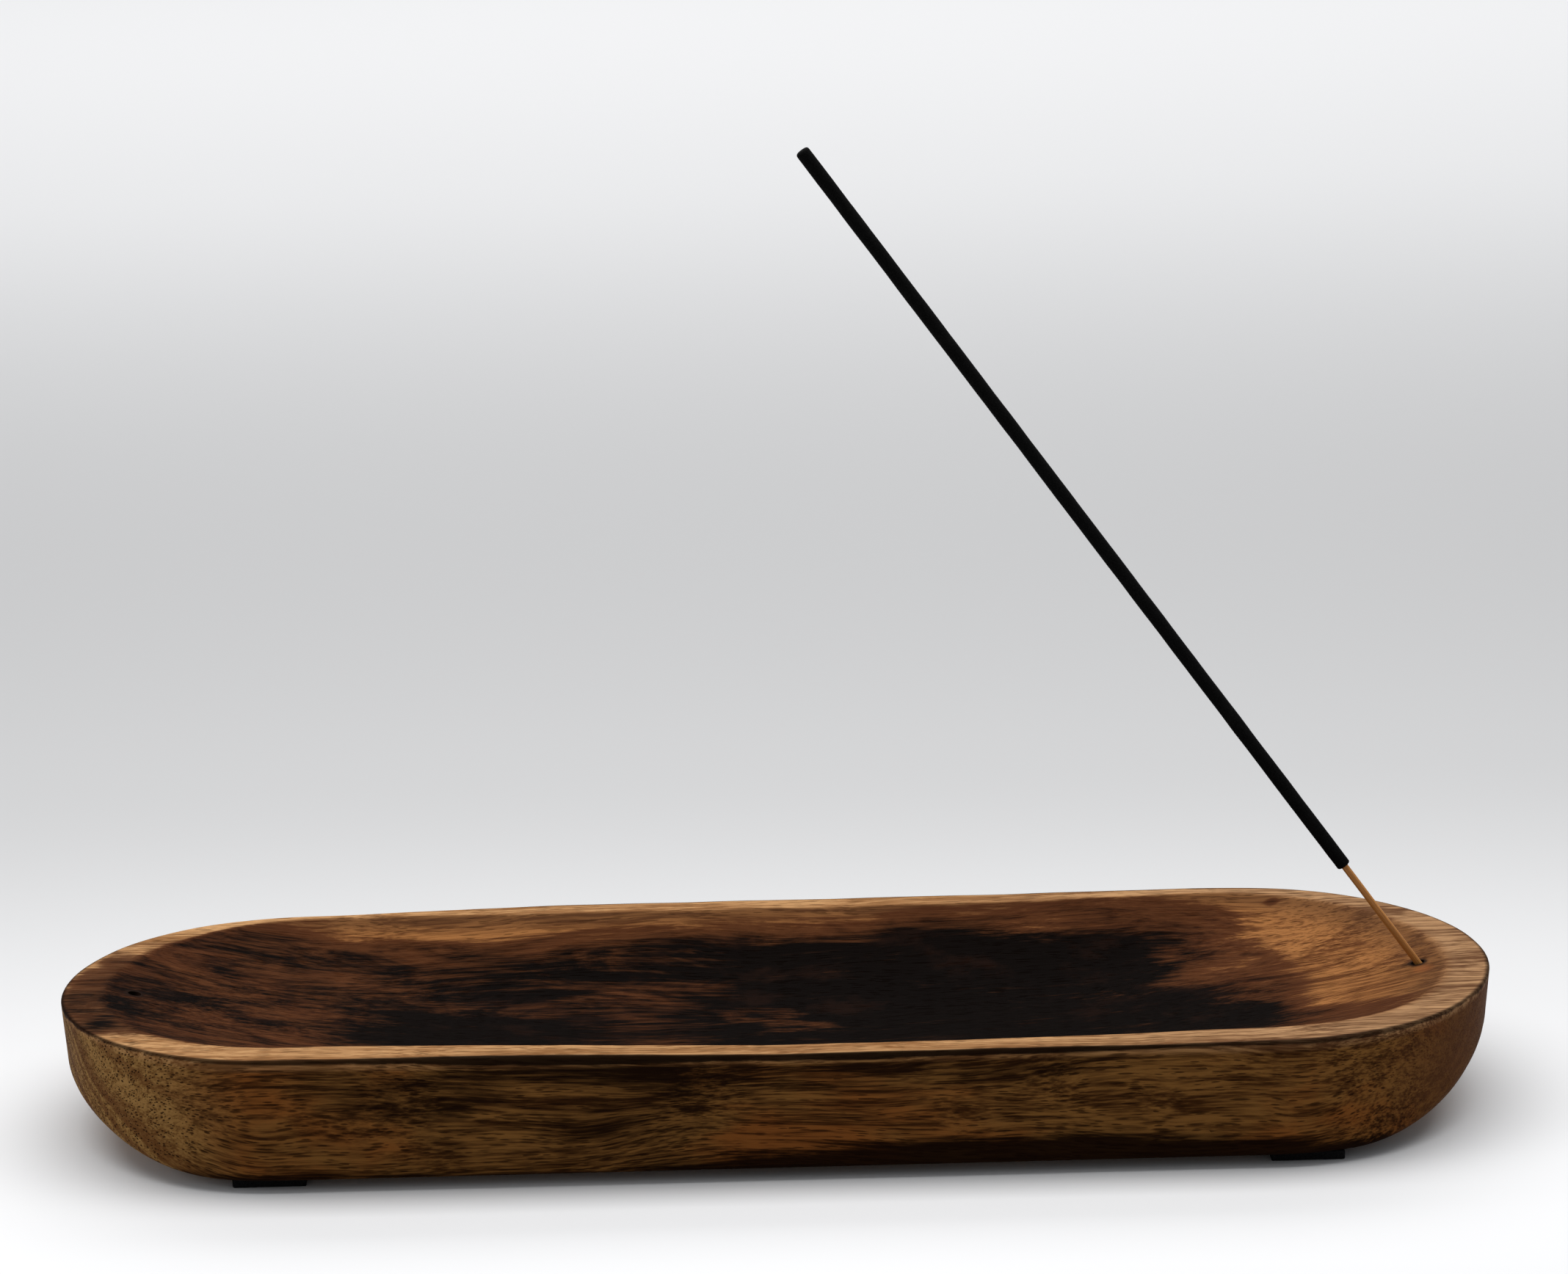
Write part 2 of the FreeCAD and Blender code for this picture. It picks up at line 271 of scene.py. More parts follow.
# Scorching: where the flame passed, and below zero where it missed, seen from above in the hollow
# (x, y, half length and half width in millimetres, strength)
scorch_marks = [
    (5, -4, 99, 45, 0.85),
    (36, -4, 62, 42, 0.4),
    (-104, -4, 66, 58, 0.74),
    (-136, -4, 12, 18, 0.15),
    (97, -11, 9, 8, 0.5),
    (80, 0, 36, 46, 0.5),
    (108, -28, 36, 13, 0.5),
    (-76, 42, 34, 5, -0.35),
    (-32, 31, 44, 9, 0.4),
    (40, 30, 46, 7, 0.35),
    (-60, 12, 18, 5, -0.35),
    (92, 14, 14, 5, -0.25),
    (76, 26, 22, 10, 0.3),
    (109, 41, 2.2, 1.6, 0.45),
    (-3, 9, 10, 4, -0.4),
    (5, 3, 9, 4, -0.35),
    (64, 37, 44, 9, 0.34),
]
# on the rim at the left end, where the wood caught most
rim_marks = [
    (-142, -6, 9, 26, 0.62),
    (-130, -24, 14, 9, 0.42),
    (-134, 20, 12, 12, 0.25),
]
# Darker patches along the front and back walls, and painted shade along their base and over the underside (x, z,
# half length and half height in millimetres, strength)
wall_darkening_marks = [
    (14, 27, 78, 9, 0.6),
    # painted shade: this mark and the next two darken the base edge and the underside
    (55, 0, 95, 8, 0.85),
    (-95, 0, 60, 5, 0.7),
    (40, -2, 110, 13, 0.4),
    (-78, 21, 28, 8, 0.3),
    (-48, 17, 46, 14, 0.32),
    (62, 14, 28, 7, 0.2),
    (-20, 14, 34, 6, 0.25),
]
mark_fade = (0.65, 1.15)
strongest_mark = 1.3

places = np.empty(len(tray.data.vertices) * 3)
tray.data.vertices.foreach_get("co", places)
places = places.reshape(-1, 3)
x, y, z = places.T
z = base_height + (z - base_height) / stretch_upwards(x, y)

# How far out each point is, from the hollow's floor line (0) over its rim (1), found by halving
WIDEST_SPREAD = 1.6
HALVINGS = 24
low = np.zeros(len(x))
high = np.full(len(x), WIDEST_SPREAD)
for _ in range(HALVINGS):
    middle = (low + high) / 2
    breadth = middle * hollow_width
    straight = hollow_reach(middle) - breadth
    inside = np.hypot(np.maximum(np.abs(x) - straight, 0), y - drift_at(x) * middle) < breadth
    high = np.where(inside, middle, high)
    low = np.where(inside, low, middle)
spread = (low + high) / 2

# Zones of the surface, each with a soft border
hollow_border = (0.985, 1.015)
hollow_edge_band = (0.86, 0.985)
upper_margin = 2.0 * MM
wall_border = (0.3 * MM, 1.0 * MM)
wall_spread = 1.02
outer_edge_band = (-1.0 * MM, -0.25 * MM)
bore_border = (1.02 * hole_radius, 1.5 * hole_radius)
surface = rim_height - hollow_depth * (1 - np.minimum(spread, 1) ** 2)
upper = z > surface - upper_margin
in_hollow = (1 - ease(spread, *hollow_border)) * upper
on_wall = ease(rim_height - z, *wall_border) * (spread > wall_spread)
on_rim = (1 - in_hollow) * (1 - on_wall) * upper
edge_distance = np.hypot(np.maximum(np.abs(x) - (half_length - half_width), 0), y) - half_width
in_bore = np.zeros(len(x))
for middle, axis in holes:
    away = places - np.array(middle)
    along = away @ np.array(axis)
    off = np.linalg.norm(away - along[:, None] * np.array(axis), axis=1)
    in_bore = np.maximum(in_bore, 1 - ease(off, *bore_border))


def soft_marks(marks, across):
    """The marks added up at each point, from its place along the tray and its place across."""
    total = np.zeros(len(x))
    for mark_x, mark_across, reach, breadth, strength in marks:
        away = np.hypot((x / MM - mark_x) / reach, (across / MM - mark_across) / breadth)
        total += strength * (1 - ease(away, *mark_fade))
    return np.clip(total, 0, strongest_mark)


attributes = {
    "in_hollow": in_hollow,
    "on_wall": on_wall,
    "on_rim": on_rim,
    "outer_edge": ease(edge_distance, *outer_edge_band),
    "level": z / MM,
    "in_bore": in_bore,
    "hollow_edge": in_hollow * ease(spread, *hollow_edge_band),
    "scorch": soft_marks(scorch_marks, y) * in_hollow + soft_marks(rim_marks, y) * on_rim,
    # the walls' darker patches, with painted shade along the base and underside
    "wall_darkening": soft_marks(wall_darkening_marks, z) * on_wall,
}
for name, values in attributes.items():
    layer = tray.data.attributes.new(name, "FLOAT", "POINT")
    layer.data.foreach_set("value", np.ascontiguousarray(values, dtype=np.float32))


def node(tree, kind, inputs=None, **settings):
    """A shader node with its settings, whose inputs take values or other nodes' outputs."""
    made = tree.nodes.new(kind)
    for name, value in settings.items():
        setattr(made, name, value)
    for name, value in (inputs or {}).items():
        if isinstance(value, bpy.types.NodeSocket):
            tree.links.new(value, made.inputs[name])
        else:
            made.inputs[name].default_value = value
    return made


def reckon(tree, operation, first, second=0.0, clamp=False):
    """One step of arithmetic on two values."""
    made = node(tree, "ShaderNodeMath", {0: first, 1: second}, operation=operation, use_clamp=clamp)
    return made.outputs[0]


def add_share(tree, base, value, weight, clamp=False):
    """The base with that share of a second value on top."""
    return reckon(tree, "ADD", base, reckon(tree, "MULTIPLY", value, weight), clamp)


def reckon_vectors(tree, operation, first, second, result="Vector"):
    """One step of arithmetic on two vectors."""
    return node(tree, "ShaderNodeVectorMath", {0: first, 1: second}, operation=operation).outputs[result]


def step_up(tree, value, start, end, low=0.0, high=1.0):
    """A smooth rise from low to high as the value goes from start to end."""
    inputs = {"Value": value, "From Min": start, "From Max": end, "To Min": low, "To Max": high}
    return node(tree, "ShaderNodeMapRange", inputs, interpolation_type="SMOOTHSTEP").outputs[0]


def tint(tree, share, first, second):
    """The first colour where the share is 0 and the second where it is 1 (colours are sockets 6 and 7)."""
    ends = [end if isinstance(end, bpy.types.NodeSocket) else (*end, 1.0) for end in (first, second)]
    return node(tree, "ShaderNodeMix", {0: share, 6: ends[0], 7: ends[1]}, data_type="RGBA").outputs[2]


def cloud(tree, vector, scale=1.0, detail=3.0, roughness=0.5, swirl=0.0):
    """Cloudy noise, with that many clouds to one unit of the vector."""
    inputs = {"Vector": vector, "Scale": scale, "Detail": detail, "Roughness": roughness}
    return node(tree, "ShaderNodeTexNoise", {**inputs, "Distortion": swirl}).outputs["Fac"]


def new_material(name):
    """A new material, its node tree and its shader."""
    made = bpy.data.materials.new(name)
    made.use_nodes = True
    return made, made.node_tree, made.node_tree.nodes["Principled BSDF"]


def place_in_mm(tree):
    """Where on the piece a point is, in millimetres."""
    place = node(tree, "ShaderNodeTexCoord").outputs["Object"]
    return node(tree, "ShaderNodeVectorMath", {0: place, "Scale": 1 / MM}, operation="SCALE").outputs[0]


def new_group(name, inputs, output):
    """A shader node group on a vector and those numbers, with its given and its result sockets."""
    group = bpy.data.node_groups.new(name, "ShaderNodeTree")
    group.interface.new_socket("Vector", in_out="INPUT", socket_type="NodeSocketVector")
    for socket, value in inputs.items():
        made = group.interface.new_socket(socket, in_out="INPUT", socket_type="NodeSocketFloat")
        made.default_value = value
    group.interface.new_socket(output, in_out="OUTPUT", socket_type="NodeSocketFloat")
    return group, group.nodes.new("NodeGroupInput").outputs, group.nodes.new("NodeGroupOutput").inputs


def drawn_out(group, given):
    """The group's vector, scaled so that one unit is the given length along X and the width across."""
    along = reckon(group, "DIVIDE", 1.0, given["Length"])
    across = reckon(group, "DIVIDE", 1.0, given["Width"])
    scale = node(group, "ShaderNodeCombineXYZ", {0: along, 1: across, 2: across}).outputs[0]
    return reckon_vectors(group, "MULTIPLY", given["Vector"], scale)


def place_group(tree, group, inputs):
    """The group's one output, with the group placed in a material."""
    return node(tree, "ShaderNodeGroup", inputs, node_tree=group).outputs[0]


# Long fibres along X, as fine streaks: used by every piece cut along the grain
streak_contrast = (0.3, 0.7)
fibres, given, result = new_group("long_fibres", {"Length": 40.0, "Width": 0.8}, "Streak")
streak = cloud(fibres, drawn_out(fibres, given), detail=3.0, roughness=0.6)
fibres.links.new(step_up(fibres, streak, *streak_contrast), result["Streak"])

# Open pores: thin vessels along X, which show as dashes on long grain and as dots on end grain
pore_core = 0.55
pore_sizes = {"Length": 8.0, "Width": 0.9, "Fullness": 0.3, "Share": 0.4}
pores, given, result = new_group("open_pores", pore_sizes, "Pore")
cells = node(pores, "ShaderNodeTexVoronoi",
             {"Vector": drawn_out(pores, given), "Scale": 1.0, "Randomness": 1.0}).outputs
chance = node(pores, "ShaderNodeSeparateColor", {0: cells["Color"]}).outputs[0]
kept = reckon(pores, "LESS_THAN", chance, given["Share"])
deep_part = reckon(pores, "MULTIPLY", given["Fullness"], pore_core)
opening = step_up(pores, cells["Distance"], deep_part, given["Fullness"], 1.0, 0.0)
pores.links.new(reckon(pores, "MULTIPLY", opening, kept), result["Pore"])

# Colours of the wood, as pale and dark grain where there are two
rim_grain = (0.49, 0.27, 0.118), (0.23, 0.103, 0.036)
grey_rim_grain = (0.40, 0.225, 0.108), (0.11, 0.047, 0.020)
side_grain = (0.168, 0.075, 0.0185), (0.036, 0.0125, 0.0028)
red_side_grain = (0.175, 0.058, 0.012), (0.022, 0.0065, 0.0015)
sapwood_grain = (0.265, 0.145, 0.046), (0.115, 0.050, 0.013)
sapwood_ring = (0.095, 0.034, 0.010)
heartwood_brown = (0.075, 0.028, 0.0095)
hollow_grain = (0.315, 0.130, 0.040), (0.088, 0.028, 0.0078)
# brown of the band along the hollow's rim: partly the wood's colour, partly painted shade under the rim
hollow_edge_brown_and_shade = (0.07, 0.032, 0.014)
pore_brown = (0.014, 0.005, 0.0015)
singed_brown = (0.062, 0.019, 0.0065)
char_black = (0.0012, 0.0006, 0.0004), (0.008, 0.003, 0.0016)
# near black for the walls' darker patches and their painted shade along the base
wall_darkening_black = (0.006, 0.002, 0.0007)
rim_line_black = (0.006, 0.0025, 0.001)
# soot round the mouths of the stick holes, partly painted shade
hole_soot_and_shade = (0.016, 0.007, 0.004)
sap_red = (0.24, 0.075, 0.022)
# painted shade inside the stick holes
bore_shade_black = (0.012, 0.006, 0.004)

# Places along the block, in millimetres, between which the wood changes
sapwood_run = (-132.0, -104.0)
grey_rim_run = (20.0, 120.0)
heartwood_run = (118.0, 140.0)

wood, tree, shader = new_material("scorched_hardwood")
place = place_in_mm(tree)
zone = {}
for name in attributes:
    zone[name] = node(tree, "ShaderNodeAttribute", attribute_name=name).outputs["Fac"]

# Grain wanders a little to the side along the block
wander_scale = (0.012, 0.03, 0.03)
wander_reach = (0.0, 14.0, 14.0)
NOISE_MIDDLE = 0.5
wander = reckon_vectors(tree, "MULTIPLY", place, wander_scale)
wander = node(tree, "ShaderNodeTexNoise", {"Vector": wander, "Scale": 1.0, "Detail": 2.0}).outputs["Color"]
wander = reckon_vectors(tree, "SUBTRACT", wander, (NOISE_MIDDLE,) * 3)
wander = reckon_vectors(tree, "MULTIPLY", wander, wander_reach)
grain = reckon_vectors(tree, "ADD", place, wander)
along_block = node(tree, "ShaderNodeSeparateXYZ", {0: grain}).outputs[0]
far_along = reckon(tree, "ABSOLUTE", along_block)
sapwood = step_up(tree, along_block, *sapwood_run, 1.0, 0.0)
grey_end = step_up(tree, along_block, *grey_rim_run)
heartwood = step_up(tree, along_block, *heartwood_run)

# Growth rings about a pith that lies below the back of the block
pith_place = (0.0, 42.0, -58.0)
across_block = (0.0, 1.0, 1.0)
rings_per_mm = 0.2
ring_contrast = (0.32, 0.68)
from_pith = reckon_vectors(tree, "SUBTRACT", grain, pith_place)
from_pith = reckon_vectors(tree, "MULTIPLY", from_pith, across_block)
ring_distance = node(tree, "ShaderNodeVectorMath", {0: from_pith}, operation="LENGTH").outputs["Value"]
rings = node(tree, "ShaderNodeTexNoise",
             {"W": reckon(tree, "MULTIPLY", ring_distance, rings_per_mm), "Scale": 1.0, "Detail": 3.0},
             noise_dimensions="1D").outputs["Fac"]
rings = step_up(tree, rings, *ring_contrast)

# Fibres and pores, with more pores in some patches and in the sapwood
coarse_fibre = {"Length": 30.0, "Width": 1.2}
fine_fibre = {"Length": 10.0, "Width": 0.38}
long_pore = {"Length": 7.5, "Width": 0.62, "Fullness": 0.37}
short_pore = {"Length": 4.0, "Width": 0.42, "Fullness": 0.36, "Share": 0.45}
patch_scale = (0.018, 0.09, 0.11)
patch_contrast = (0.36, 0.66)
pore_shares = (0.4, 0.85)
sapwood_pores = 0.8
coarse = place_group(tree, fibres, {"Vector": grain, **coarse_fibre})
fine = place_group(tree, fibres, {"Vector": grain, **fine_fibre})
patches = cloud(tree, reckon_vectors(tree, "MULTIPLY", grain, patch_scale), roughness=0.55)
patches = step_up(tree, patches, *patch_contrast)
pore_share = step_up(tree, patches, 0.0, 1.0, *pore_shares)
pore_share = reckon(tree, "MAXIMUM", pore_share, reckon(tree, "MULTIPLY", sapwood, sapwood_pores))
long_pores = place_group(tree, pores, {"Vector": grain, "Share": pore_share, **long_pore})
short_pores = place_group(tree, pores, {"Vector": grain, **short_pore})
pore = reckon(tree, "MAXIMUM", long_pores, short_pores)

# Tone of the grain, from pale (0) to dark (1)
coarse_weight = 0.38
ring_weight = 0.27
fine_weight = 0.35
tone_contrast = (0.2, 0.8)
tone = reckon(tree, "MULTIPLY", coarse, coarse_weight)
tone = add_share(tree, tone, rings, ring_weight)
tone = add_share(tree, tone, fine, fine_weight)
tone = step_up(tree, tone, *tone_contrast)

# Rim, sides and hollow
redness_scale = (0.025, 0.07, 0.07)
redness_contrast = (0.47, 0.68)
ring_band = (0.35, 0.85)
ring_band_depth = 0.6
heartwood_depth = 0.75
hollow_edge_depth = 0.6
rim_wood = tint(tree, grey_end, tint(tree, tone, *rim_grain), tint(tree, tone, *grey_rim_grain))
redness = cloud(tree, reckon_vectors(tree, "MULTIPLY", grain, redness_scale), detail=4.0, roughness=0.55)
redness = step_up(tree, redness, *redness_contrast)
side_wood = tint(tree, redness, tint(tree, tone, *side_grain), tint(tree, tone, *red_side_grain))
side_wood = tint(tree, sapwood, side_wood, tint(tree, tone, *sapwood_grain))
ring_bands = reckon(tree, "MULTIPLY", step_up(tree, rings, *ring_band), sapwood)
side_wood = tint(tree, reckon(tree, "MULTIPLY", ring_bands, ring_band_depth), side_wood, sapwood_ring)
side_wood = tint(tree, reckon(tree, "MULTIPLY", heartwood, heartwood_depth), side_wood, heartwood_brown)
hollow_wood = tint(tree, tone, *hollow_grain)
# The hollow darkens in a band towards its rim: partly the wood's darker colour, partly painted shade under the rim
edge_brown_and_shade = reckon(tree, "MULTIPLY", zone["hollow_edge"], hollow_edge_depth)
hollow_wood = tint(tree, edge_brown_and_shade, hollow_wood, hollow_edge_brown_and_shade)
colour = tint(tree, zone["on_wall"], rim_wood, side_wood)
colour = tint(tree, zone["in_hollow"], colour, hollow_wood)

# Pores darken the colour, most on the walls and in the sapwood and least in the heartwood
pore_depths = (0.5, 0.75)
heartwood_filling = 0.55
sapwood_opening = 0.2
pore_depth = step_up(tree, zone["on_wall"], 0.0, 1.0, *pore_depths)
unfilled = reckon(tree, "SUBTRACT", 1.0, reckon(tree, "MULTIPLY", heartwood, heartwood_filling))
pore_depth = reckon(tree, "MULTIPLY", pore_depth, unfilled)
pore_depth = add_share(tree, pore_depth, sapwood, sapwood_opening, clamp=True)
colour = tint(tree, reckon(tree, "MULTIPLY", pore, pore_depth), colour, pore_brown)

# Scorching bites along the fibres, first red-brown and then black
bite_scale = (0.032, 0.11, 0.11)
bite_detail = 6.0
bite_roughness = 0.66
bite_swirl = 0.9
coarse_bite = 0.28
fine_bite = 0.2
bite_on_heat = 1.7
flame_reach = (0.0, 0.42)
singed_heat = (-0.05, 0.4)
singed_depth = 0.92
char_heat = (0.38, 1.1)
char_depth = 0.985
ash_scale = (0.05, 0.09, 0.09)
ash_contrast = (0.5, 0.68)
bite = reckon_vectors(tree, "MULTIPLY", grain, bite_scale)
bite = cloud(tree, bite, detail=bite_detail, roughness=bite_roughness, swirl=bite_swirl)
bite = reckon(tree, "SUBTRACT", bite, NOISE_MIDDLE)
grain_bite = reckon(tree, "MULTIPLY", reckon(tree, "SUBTRACT", coarse, NOISE_MIDDLE), coarse_bite)
grain_bite = add_share(tree, grain_bite, reckon(tree, "SUBTRACT", fine, NOISE_MIDDLE), fine_bite)
heat = add_share(tree, zone["scorch"], bite, bite_on_heat)
heat = reckon(tree, "ADD", heat, grain_bite)
open_to_flame = reckon(tree, "ADD", zone["in_hollow"], zone["on_rim"])
reached = step_up(tree, zone["scorch"], *flame_reach)
heat = reckon(tree, "MULTIPLY", heat, reckon(tree, "MULTIPLY", open_to_flame, reached))
colour = tint(tree, step_up(tree, heat, *singed_heat, 0.0, singed_depth), colour, singed_brown)
ash = cloud(tree, reckon_vectors(tree, "MULTIPLY", grain, ash_scale), detail=5.0, roughness=0.65)
black = tint(tree, step_up(tree, ash, *ash_contrast), *char_black)
colour = tint(tree, step_up(tree, heat, *char_heat, 0.0, char_depth), colour, black)

# Darker patches on the walls, and painted shade along their base and over the underside
bite_on_darkening = 0.7
grain_on_darkening = 0.8
darkening_contrast = (0.15, 0.9)
darkening_depth = 0.95
darkening = add_share(tree, zone["wall_darkening"], bite, bite_on_darkening)
darkening = add_share(tree, darkening, grain_bite, grain_on_darkening)
darkening = reckon(tree, "MULTIPLY", darkening, zone["on_wall"])
colour = tint(tree, step_up(tree, darkening, *darkening_contrast, 0.0, darkening_depth), colour, wall_darkening_black)

# A thin black line along the outer edge of the rim, ragged below and faint towards the ends
line_height = 0.8
line_foot = rim_height / MM - line_height
line_blur = 0.3
line_raggedness = 2.0
line_widening = 0.8
widening_run = (40.0, 110.0)
line_depths = (0.97, 0.8)
fading_run = (60.0, 125.0)
ragged = add_share(tree, zone["level"], bite, line_raggedness)
ragged = reckon(tree, "ADD", ragged, step_up(tree, far_along, *widening_run, line_widening, 0.0))
edge_line = step_up(tree, ragged, line_foot - line_blur, line_foot + line_blur)
edge_line = reckon(tree, "MULTIPLY", edge_line, zone["outer_edge"])
edge_line = reckon(tree, "MULTIPLY", edge_line, step_up(tree, far_along, *fading_run, *line_depths))
colour = tint(tree, edge_line, colour, rim_line_black)

# Soot about the mouth of each stick hole, partly painted shade that widens the dark of the opening, with a reddish
# run of sap below the right one
soot_and_shade_ring = (1.5, 2.6)
soot_and_shade_depth = 0.85
sap_offset = Vector((0.4, -4.5, 0.2))
sap_ring = (0.6, 3.2)
sap_depth = 0.5
left_mouth, right_mouth = [(middle + axis * hole_depth / 2) / MM for middle, axis in holes]
for mouth in (left_mouth, right_mouth):
    away = reckon_vectors(tree, "DISTANCE", place, mouth, "Value")
    colour = tint(tree, step_up(tree, away, *soot_and_shade_ring, soot_and_shade_depth, 0.0), colour, hole_soot_and_shade)
away = reckon_vectors(tree, "DISTANCE", place, right_mouth + sap_offset, "Value")
colour = tint(tree, step_up(tree, away, *sap_ring, sap_depth, 0.0), colour, sap_red)
# Painted shade: the walls of each bore and the lip around it are coloured near black
colour = tint(tree, zone["in_bore"], colour, bore_shade_black)
tree.links.new(colour, shader.inputs["Base Color"])

# A dull oiled finish, rougher where it is charred and in the pores
finish_heat = (0.1, 0.8)
finish_roughness = (0.55, 0.62)
fibre_roughness = 0.08
pore_roughness = 0.2
wood_specular = 0.015
fibre_relief = 0.25
relief_strength = 0.35
relief_depth = 0.25 * MM
dullness = step_up(tree, heat, *finish_heat, *finish_roughness)
dullness = add_share(tree, dullness, fine, fibre_roughness)
dullness = add_share(tree, dullness, pore, pore_roughness, clamp=True)
tree.links.new(dullness, shader.inputs["Roughness"])
shader.inputs["Specular IOR Level"].default_value = wood_specular
relief = reckon(tree, "SUBTRACT", reckon(tree, "MULTIPLY", fine, fibre_relief), pore)
bump = node(tree, "ShaderNodeBump",
            {"Height": relief, "Strength": relief_strength, "Distance": relief_depth})
tree.links.new(bump.outputs[0], shader.inputs["Normal"])

tray.data.materials.clear()
tray.data.materials.append(wood)
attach(tray, "tray")
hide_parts("tray")


# Stick-on pads
# Four slips of black foam rubber, cut from a sheet, that keep the wood off the table.
# Each is held by a thin adhesive film, pressed on to the flat part of the underside.

foam_black = (0.002, 0.002, 0.002), (0.006, 0.006, 0.006)
foam_cells_per_mm = 2.2
foam_depths = (0.0, 0.7)
foam_roughness = (0.95, 0.75)
foam_specular = 0.1
foam_relief = 0.15 * MM
foam_relief_strength = 0.5
foam, tree, shader = new_material("black_foam_rubber")
cells = node(tree, "ShaderNodeTexVoronoi", {"Vector": place_in_mm(tree), "Scale": foam_cells_per_mm})
depth = cells.outputs["Distance"]
tree.links.new(tint(tree, depth, *foam_black), shader.inputs["Base Color"])
shader.inputs["Specular IOR Level"].default_value = foam_specular
tree.links.new(step_up(tree, depth, *foam_depths, *foam_roughness), shader.inputs["Roughness"])
bump = node(tree, "ShaderNodeBump",
            {"Height": depth, "Strength": foam_relief_strength, "Distance": foam_relief})
tree.links.new(bump.outputs[0], shader.inputs["Normal"])

adhesive_grey = (0.05, 0.048, 0.045), (0.11, 0.10, 0.085)
smear_contrast = (0.3, 0.7)
adhesive_roughness = (0.35, 0.6)
smears_per_metre = 400.0
adhesive, tree, shader = new_material("adhesive_film")
place = node(tree, "ShaderNodeTexCoord").outputs["Object"]
smears = cloud(tree, place, smears_per_metre, detail=3.0)
tree.links.new(tint(tree, smears, *adhesive_grey), shader.inputs["Base Color"])
tree.links.new(step_up(tree, smears, *smear_contrast, *adhesive_roughness), shader.inputs["Roughness"])

pad_edge = 0.35 * MM
pad_crease = math.radians(50)
PAD_SEGMENTS = 3
for corner in ("front_left", "front_right", "back_left", "back_right"):
    pad_low, pad_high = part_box("pad_" + corner)
    bpy.ops.object.select_all(action="DESELECT")
    bpy.ops.mesh.primitive_cube_add(size=1, location=(pad_low + pad_high) / 2, scale=pad_high - pad_low)
    pad = bpy.context.object
    pad.name = "foam_pad_" + corner
    bpy.ops.object.transform_apply(location=True, rotation=True, scale=True)
    bpy.ops.object.mode_set(mode="EDIT")
    bpy.ops.mesh.select_all(action="SELECT")
    bpy.ops.mesh.bevel(offset=pad_edge, segments=PAD_SEGMENTS, affect="EDGES")
    bpy.ops.object.mode_set(mode="OBJECT")
    bpy.ops.object.shade_smooth_by_angle(angle=pad_crease)
    pad.data.materials.append(foam)
    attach(pad, "tray")
    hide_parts("pad_" + corner)
    film = frame["nodes"]["film_" + corner]
    for film_slot in film.material_slots:
        film_slot.material = adhesive


# Bamboo core
# A splint of split bamboo, shaved roughly square, that runs almost the whole length of the stick.
# Its bare foot stands loose in the drilled hole, and the rest is buried in the incense paste.

core_low, core_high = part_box("bamboo_core")
stick_axis = Vector(frame["joints"][0]["axis"]).normalized()
core_radius = (core_high.y - core_low.y) / 2
lean = math.atan2(-stick_axis.x, stick_axis.z)
core_length = (core_high.z - core_low.z - 2 * core_radius * math.sin(lean)) / math.cos(lean)
foot_x = core_high.x - core_radius * math.cos(lean)
foot_z = core_low.z + core_radius * math.sin(lean)
stick_foot = Vector((foot_x, 0.0, foot_z))
stick_turn = Matrix.Translation(stick_foot) @ Matrix.Rotation(-lean, 4, "Y")
stick_crease = math.radians(50)
FOOT_SEGMENTS = 3
TIP_SEGMENTS = 4


def pick_edges(piece, wanted):
    """Goes into edit mode with just those edges selected whose two ends pass the test."""
    bpy.ops.object.mode_set(mode="EDIT")
    bpy.ops.mesh.select_mode(type="EDGE")
    bpy.ops.mesh.select_all(action="DESELECT")
    bpy.ops.object.mode_set(mode="OBJECT")
    for edge in piece.data.edges:
        first, second = (piece.data.vertices[number].co for number in edge.vertices)
        edge.select = wanted(first, second)
    bpy.ops.object.mode_set(mode="EDIT")


def rod(name, radius, start, end, foot_round, tip_round, rings, sides):
    """A rod on the stick's own axis, upright, with rounded ends and evenly spaced rings."""
    middle = (start + end) / 2
    near_tip = end - tip_round / 10
    bpy.ops.object.select_all(action="DESELECT")
    bpy.ops.mesh.primitive_cylinder_add(vertices=sides, radius=radius, depth=end - start,
                                        location=(0, 0, middle))
    piece = bpy.context.object
    piece.name = name
    bpy.ops.object.transform_apply(location=True, rotation=True, scale=True)
    pick_edges(piece, lambda first, second: max(first.z, second.z) < middle)
    bpy.ops.mesh.bevel(offset=foot_round, segments=FOOT_SEGMENTS, affect="EDGES")
    bpy.ops.object.mode_set(mode="OBJECT")
    pick_edges(piece, lambda first, second: min(first.z, second.z) > near_tip)
    bpy.ops.mesh.bevel(offset=tip_round, segments=TIP_SEGMENTS, affect="EDGES")
    bpy.ops.object.mode_set(mode="OBJECT")
    pick_edges(piece, lambda first, second: abs(first.z - second.z) > (end - start) / 2)
    bpy.ops.mesh.subdivide_edgering(number_cuts=rings, interpolation="LINEAR", smoothness=0)
    bpy.ops.object.mode_set(mode="OBJECT")
    return piece


CORE_RINGS = 160
CORE_SIDES = 24
core_round = 0.12 * MM
squareness = 0.09
shave_depth = 0.05
shaves_per_metre = Vector((900, 900, 130))
core = rod("bamboo_splint", core_radius, 0.0, core_length, core_round, core_round, CORE_RINGS, CORE_SIDES)
for vertex in core.data.vertices:
    angle = math.atan2(vertex.co.y, vertex.co.x)
    squared = 1.0 - squareness * (0.5 + 0.5 * math.cos(4 * angle))
    shaved = 1.0 + shave_depth * noise.noise(vertex.co * shaves_per_metre)
    vertex.co.x *= squared * shaved
    vertex.co.y *= squared * shaved
core.data.transform(stick_turn)
bpy.ops.object.shade_smooth_by_angle(angle=stick_crease)

